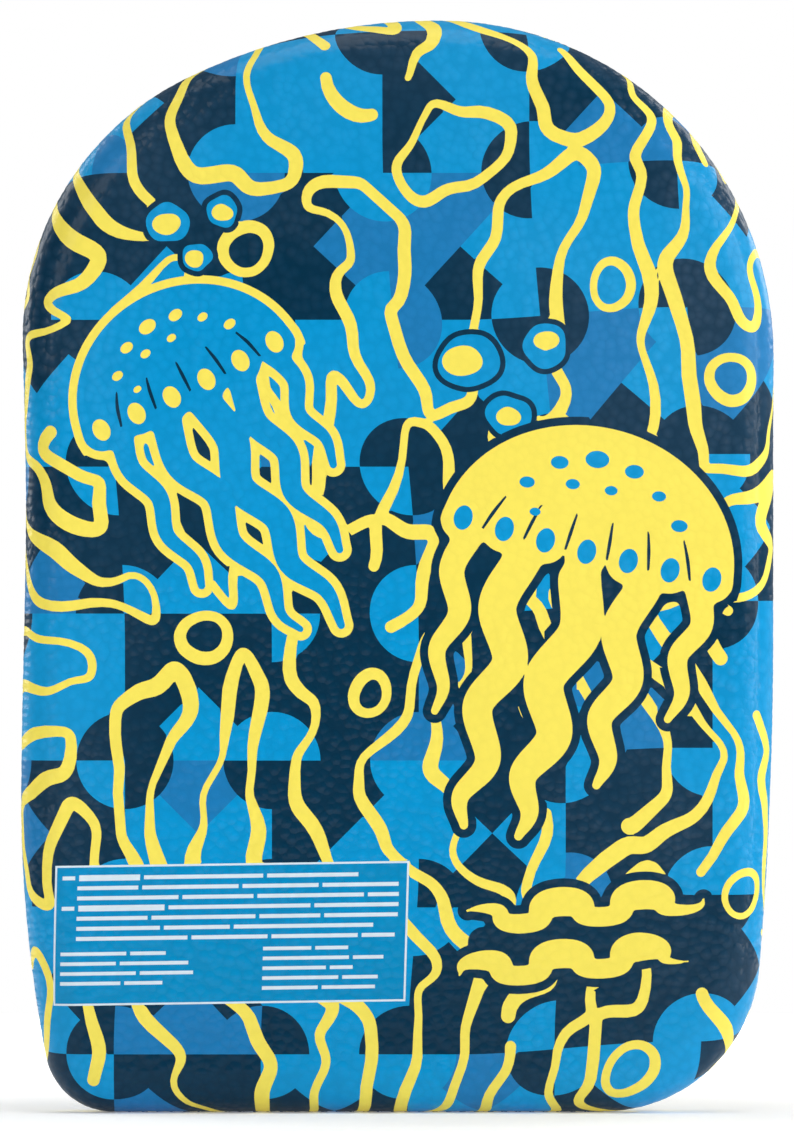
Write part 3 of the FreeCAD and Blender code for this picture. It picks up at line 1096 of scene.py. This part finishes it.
def make_thread(name, parts):
    """One piece from many tubes of thread."""
    places, faces, first = [], [], 0
    for more, more_faces in parts:
        places.append(more)
        faces += [[first + v for v in face] for face in more_faces]
        first += len(more)
    return add_piece(name, np.vstack(places), faces, [thread_blue])


def stitch(s, slant, reach, thick, lift, steps=7):
    """One stitch over the seam, its ends dipping into the cloth."""
    t = np.linspace(-1, 1, steps)
    dip = np.clip(np.abs(t) - DIP_FROM, 0, 1) / (1 - DIP_FROM)
    places = seam_place(s + slant * t, reach * t, lift * (1 - dip**2) - DIP * dip**2)
    return tube(places, thick * (1 - 0.25 * dip))


def make_seam_thread():
    count = int(PERIMETER / 1.2)
    s = np.arange(count) * PERIMETER / count
    parts = [tube(seam_place(s, 0.12 * np.sin(s * 1.7), -0.32), CORD, closed=True)]
    for k in range(STITCHES):
        s = (k + 0.1 * math.sin(1.7 * k)) * PERIMETER / STITCHES
        slant, reach = 0.42 + 0.08 * math.sin(2.9 * k), 1.15 + 0.15 * math.sin(4.1 * k)
        parts.append(stitch(s, slant, reach, OVERLOCK, 0.06))
    return make_thread("overlock_stitches", parts)


def make_closing_thread():
    start = PERIMETER - (chain()[0][0][0] - CLOSING[0])
    length = CLOSING[1] - CLOSING[0]
    count = round(length / CLOSING_STITCH)
    parts = []
    for k in range(count):
        s = start + (k + 0.5) * length / count
        wander = 0.5 * math.sin(3.3 * k)
        parts.append(stitch(s, 1.3 + 0.2 * math.sin(1.9 * k), 1.9 + 0.2 * wander, BY_HAND, 0.16, 9))
    return make_thread("closing_stitches", parts)


# ---------------------------------------------------------------- materials


class Nodes:
    """A material's node tree, built by short calls. Every length in it is in millimetres."""

    def __init__(self, name):
        self.material = bpy.data.materials.new(name)
        self.material.use_nodes = True
        self.tree = self.material.node_tree
        self.tree.nodes.clear()
        self.output = self.add("OutputMaterial")
        metres = self.add("TexCoord").outputs["Object"]
        self.place = self.add("VectorMath", metres, operation="SCALE", Scale=1 / MM).outputs[0]

    def add(self, kind, *values, **named):
        """A node. Values go to its sockets in order, and named ones to the setting or socket they name."""
        node = self.tree.nodes.new("ShaderNode" + kind)
        for key in [key for key in named if hasattr(node, key)]:
            setattr(node, key, named.pop(key))
        sockets = list(enumerate(values)) + [(key.replace("_", " "), value) for key, value in named.items()]
        for key, value in sockets:
            self.put(node.inputs[key], value)
        return node

    def put(self, socket, value):
        if isinstance(value, bpy.types.NodeSocket):
            self.tree.links.new(value, socket)
        elif hasattr(value, "__len__") and len(value) == 3 and socket.type == "RGBA":
            socket.default_value = (*value, 1.0)
        else:
            socket.default_value = value

    def maths(self, operation, first, second=0.0):
        return self.add("Math", first, second, operation=operation).outputs[0]

    def times(self, *values):
        """The product of two or more values."""
        product = values[0]
        for value in values[1:]:
            product = self.maths("MULTIPLY", product, value)
        return product

    def mix(self, amount, first, second, blend="MIX"):
        node = self.add("Mix", amount, data_type="RGBA", blend_type=blend)
        self.put(node.inputs[6], first)
        self.put(node.inputs[7], second)
        return node.outputs[2]

    def noise(self, size, detail=2.0, roughness=0.5):
        """Noise from 0 to 1 with lumps about this many millimetres across."""
        return self.add(
            "TexNoise", Vector=self.place, Scale=1 / size, Detail=detail, Roughness=roughness
        ).outputs[0]

    def beads(self, size, smoothness=0.12):
        return self.add(
            "TexVoronoi", feature="SMOOTH_F1", Vector=self.place, Scale=1 / size, Smoothness=smoothness
        ).outputs["Distance"]

    def between(self, value, low, high, to_low=0.0, to_high=1.0):
        return self.add("MapRange", value, low, high, to_low, to_high).outputs[0]

    def axes(self, vector):
        return self.add("SeparateXYZ", Vector=vector).outputs

    def bump(self, height, depth, under=None):
        """Relief where height 1 stands this many millimetres above height 0."""
        under = {"Normal": under} if under else {}
        return self.add("Bump", Height=height, Distance=depth * MM, Strength=1.0, **under).outputs[0]

    def finish(self, **inputs):
        surface = self.add("BsdfPrincipled", **inputs)
        self.tree.links.new(surface.outputs[0], self.output.inputs[0])
        return self.material


def painted_sheen(n, uneven, beads):
    """How much painted sheen pales the ink: in broad patches, as a painted highlight on top of each bead,
    and more high up and towards both sides.
    """
    across, _, up = n.axes(n.place)
    # painted sheen is stronger high up and towards both sides, where the light catches the board
    high_up = n.between(up, 170.0, 400.0, 0.05, 0.95)
    right = n.between(across, 10.0, 120.0)
    left = n.between(across, -90.0, -130.0, 0.0, 0.8)
    sheen_places = n.maths("ADD", high_up, n.maths("ADD", right, left))
    broad = n.between(n.noise(120.0), 0.42, 0.62, 0.0, 0.06 * uneven)
    return n.times(n.maths("ADD", n.times(beads, 0.07 * uneven), broad), sheen_places)


def ink_material(name, colour, painted_sheen_colour, uneven):
    """Printed stretch cloth over bead foam: the beads show through, and the ink is a little uneven, with
    painted shade in the hollows between beads and a painted sheen on bead tops, high up, at the sides and
    round the edge.
    """
    n = Nodes(name)
    cloud = n.between(n.noise(38.0, 3.0), 0.3, 0.7, 1 - 0.04 * uneven, 1 + 0.03 * uneven)
    grain = n.between(n.noise(0.5, 2.0, 0.7), 0.25, 0.75, 1 - 0.05 * uneven, 1 + 0.05 * uneven)
    bead_shape = n.beads(3.6)
    # painted shade: the ink is darkened in the hollows between the beads, where shade falls
    painted_hollow_shade = n.between(bead_shape, 0.35, 0.75, 1.0, 1 - 0.09 * uneven)
    shade = n.times(cloud, grain, painted_hollow_shade)
    grey = n.add("CombineColor", shade, shade, shade).outputs[0]
    ink = n.mix(1.0, colour, grey, "MULTIPLY")
    dome = n.between(bead_shape, 0.08, 0.72, 1.0, 0.0)
    proud = n.between(n.noise(30.0), 0.38, 0.62, 0.35, 1.0)
    beads = n.times(dome, proud)
    # painted sheen and painted bead highlights pale the ink towards its sheen colour
    ink = n.mix(painted_sheen(n, uneven, beads), ink, painted_sheen_colour)

    # painted sheen: the ink is paled where the cloth turns round the edge, the more it faces sideways; in
    # part this also stands for ink thinned where the cloth is stretched
    facing = n.axes(n.add("NewGeometry").outputs["Normal"])[1]
    round_edge = n.between(n.maths("ABSOLUTE", facing), 0.75, 0.1)
    edge_sheen_and_thinning = n.times(round_edge, n.between(n.noise(7.0, 4.0, 0.6), 0.35, 0.75, 0.10, 0.34))
    ink = n.mix(edge_sheen_and_thinning, ink, painted_sheen_colour)

    # a few pale specks where dust sat under the ink
    speck = n.add("TexVoronoi", Vector=n.place, Scale=1 / 15.0)
    chosen = n.add("SeparateColor", speck.outputs["Color"]).outputs[0]
    spot = n.maths("LESS_THAN", speck.outputs["Distance"], n.between(chosen, 0.86, 1.0, 0.0, 0.022))
    ink = n.mix(n.times(spot, 0.6), ink, (0.75, 0.78, 0.8))

    relief = n.bump(beads, 0.13 + 0.16 * uneven)
    relief = n.bump(wrinkles(n), 0.24, relief)
    relief = n.bump(n.noise(0.9, 2.0, 0.6), 0.012, relief)
    rough = n.between(n.noise(4.0, 3.0), 0.3, 0.7, 0.36, 0.48)
    return n.finish(
        Base_Color=ink, Roughness=rough, Specular_IOR_Level=0.04, Normal=relief,
        Coat_Weight=0.22, Coat_Roughness=0.2, Coat_Normal=relief,
    )


def wrinkles(n):
    """Small gathers that run in from the seam, one to each stitch, and a few longer ones among them."""
    along, inward, _ = n.axes(n.add("UVMap", uv_map="seam").outputs[0])
    inward = n.times(inward, SEAM_MAP_REACH)
    wander = n.between(n.noise(9.0), 0.2, 0.8, -1.6, 1.6)
    patchy = n.between(n.noise(26.0, 3.0, 0.6), 0.36, 0.66)

    def gathers(count, reach, height):
        wave = n.maths("SINE", n.maths("ADD", n.times(along, TURN * count), wander))
        return n.times(wave, n.maths("POWER", 0.5, n.maths("DIVIDE", inward, reach)), height)

    fine = gathers(STITCHES, 4.5, n.maths("ADD", 0.35, patchy))
    long = gathers(STITCHES // 3, 9.0, n.times(patchy, 0.55))
    across, _, up = n.axes(n.place)
    left, low_down = n.between(across, 60.0, -60.0, 0.35, 1.0), n.between(up, 340.0, 270.0, 0.4, 1.0)
    return n.times(n.maths("ADD", fine, long), n.times(left, low_down))


def lining_material():
    """The unprinted back of the cloth."""
    n = Nodes("cloth_lining")
    weave = n.noise(0.5)
    colour = n.mix(weave, (0.72, 0.74, 0.76), (0.86, 0.87, 0.88))
    return n.finish(Base_Color=colour, Roughness=0.85, Normal=n.bump(weave, 0.03))


def thread_material(name, colour):
    """Twisted sewing thread."""
    n = Nodes(name)
    strand = n.noise(0.35, 2.0, 0.6)
    shade = n.mix(strand, tuple(0.62 * c for c in colour), tuple(min(1.0, 1.25 * c) for c in colour))
    return n.finish(Base_Color=shade, Roughness=0.7, Specular_IOR_Level=0.2, Normal=n.bump(strand, 0.12))


def foam_material():
    """White expanded bead foam: pale beads pressed together, with darker lines between them."""
    n = Nodes("bead_foam_white")
    shape = n.beads(3.2)
    colour = n.mix(n.between(shape, 0.45, 0.75), (0.88, 0.89, 0.90), (0.66, 0.68, 0.70))
    return n.finish(
        Base_Color=colour, Roughness=0.6, Normal=n.bump(n.between(shape, 0.1, 0.8, 1.0, 0.0), 0.25),
        Subsurface_Weight=0.15, Subsurface_Scale=2 * MM,
    )


# ---------------------------------------------------------------- stage

VIEW_HEIGHT = 0.4486  # what the picture spans at the board, top to bottom
VIEW_MIDDLE = 0.2160
CAMERA_AWAY = 5.0
AMBIENT = 0.12
FLOOR_SIZE, FLOOR_DROP = 1100.0, 0.3  # its radius, and how far it lies under the tail, in millimetres
LIT = (0, 0, 0.22)  # where the lights point
SOFTBOXES = [  # name, place, size, power
    ("softbox_front_right", (1.8, -1.3, 0.9), (1.0, 1.6), 17),
    ("softbox_front_left", (-1.4, -1.9, 1.0), (1.2, 1.4), 15.5),
    ("strip_right", (1.6, -0.42, 0.35), (0.3, 1.8), 13),
    ("softbox_top", (-0.1, -0.15, 1.9), (1.5, 1.1), 16),
    ("softbox_back_left", (-1.7, 1.5, 0.9), (1.2, 1.4), 19),
    ("softbox_back_right", (1.5, 1.8, 1.1), (1.2, 1.4), 19),
]


def soft_light(name, place, size, power):
    light = bpy.data.lights.new(name, "AREA")
    light.shape, light.size, light.size_y, light.energy = "RECTANGLE", *size, power
    lamp = bpy.data.objects.new(name, light)
    lamp.location = place
    towards = mathutils.Vector(LIT) - mathutils.Vector(place)
    lamp.rotation_euler = towards.to_track_quat("-Z", "Y").to_euler()
    lamp.visible_camera = False
    bpy.context.scene.collection.objects.link(lamp)


def make_floor():
    """A plain pale floor that melts into the white surroundings away from the board."""
    angle = np.arange(64) * TURN / 64
    places = np.stack([np.cos(angle), np.sin(angle), np.zeros(64)], 1) * FLOOR_SIZE - [0, 0, FLOOR_DROP]
    n = Nodes("studio_floor")
    from_board = n.add("VectorMath", n.place, operation="LENGTH").outputs["Value"]
    glow = n.between(from_board, 160.0, 700.0, 0.16, 0.85)
    pale = n.finish(
        Base_Color=(0.94, 0.94, 0.94), Roughness=0.9,
        Emission_Color=(1.0, 1.0, 1.0), Emission_Strength=glow,
    )
    add_piece("studio_floor", places, [list(range(64))], [pale])


def make_studio():
    scene = bpy.context.scene
    world = bpy.data.worlds.new("studio")
    world.use_nodes = True
    nodes, links = world.node_tree.nodes, world.node_tree.links
    nodes["Background"].inputs[0].default_value = (1.0, 1.0, 1.0, 1.0)
    strength = nodes.new("ShaderNodeMapRange")
    links.new(nodes.new("ShaderNodeLightPath").outputs["Is Camera Ray"], strength.inputs[0])
    strength.inputs[3].default_value, strength.inputs[4].default_value = AMBIENT, 1.0
    links.new(strength.outputs[0], nodes["Background"].inputs[1])
    scene.world = world
    scene.view_settings.view_transform = "Standard"
    make_floor()
    for softbox in SOFTBOXES:
        soft_light(*softbox)
    camera = bpy.data.cameras.new("camera")
    camera.sensor_fit, camera.sensor_height = "VERTICAL", 36.0
    camera.lens = 36.0 * CAMERA_AWAY / VIEW_HEIGHT
    camera.clip_end = 50.0
    eye = bpy.data.objects.new("camera", camera)
    eye.location = (0.0, -CAMERA_AWAY, VIEW_MIDDLE)
    eye.rotation_euler = (math.pi / 2, 0, 0)
    scene.collection.objects.link(eye)
    scene.camera = eye


# ---------------------------------------------------------------- the board


def check_outline():
    """Stop if this outline isn't the CAD one."""
    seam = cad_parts["seam_thread"]
    places = np.array([v.co for v in seam.data.vertices]) / MM
    out = locate(places[:, [0, 2]], inset=0.0)[2]
    rim = out[out > -0.35]
    fits = len(rim) > 20 and np.abs(rim + SEAM_RECESS).max() < 0.1
    assert fits, f"the rim is {rim.min():.2f} to {rim.max():.2f}"


ink_materials = {key: ink_material(*ink) for key, ink in INKS.items()}
ink_materials[LINING] = lining_material()
thread_blue = thread_material("thread_blue", (0.012, 0.12, 0.34))

check_outline()
front = make_cover("printed_front", -1, front_layers())
back = make_cover("printed_back", 1, back_layers(), turned=True)
overlock, closing = make_seam_thread(), make_closing_thread()
for piece, node, slot in (
    (front, "front_cover", "printed_cover"),
    (back, "back_cover", "printed_cover"),
    (overlock, "seam_thread", "thread"),
    (closing, "closing_thread", "thread"),
    (make_foam(), "foam_core", "bead_foam"),
):
    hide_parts(node)
    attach(piece, "root")

make_studio()
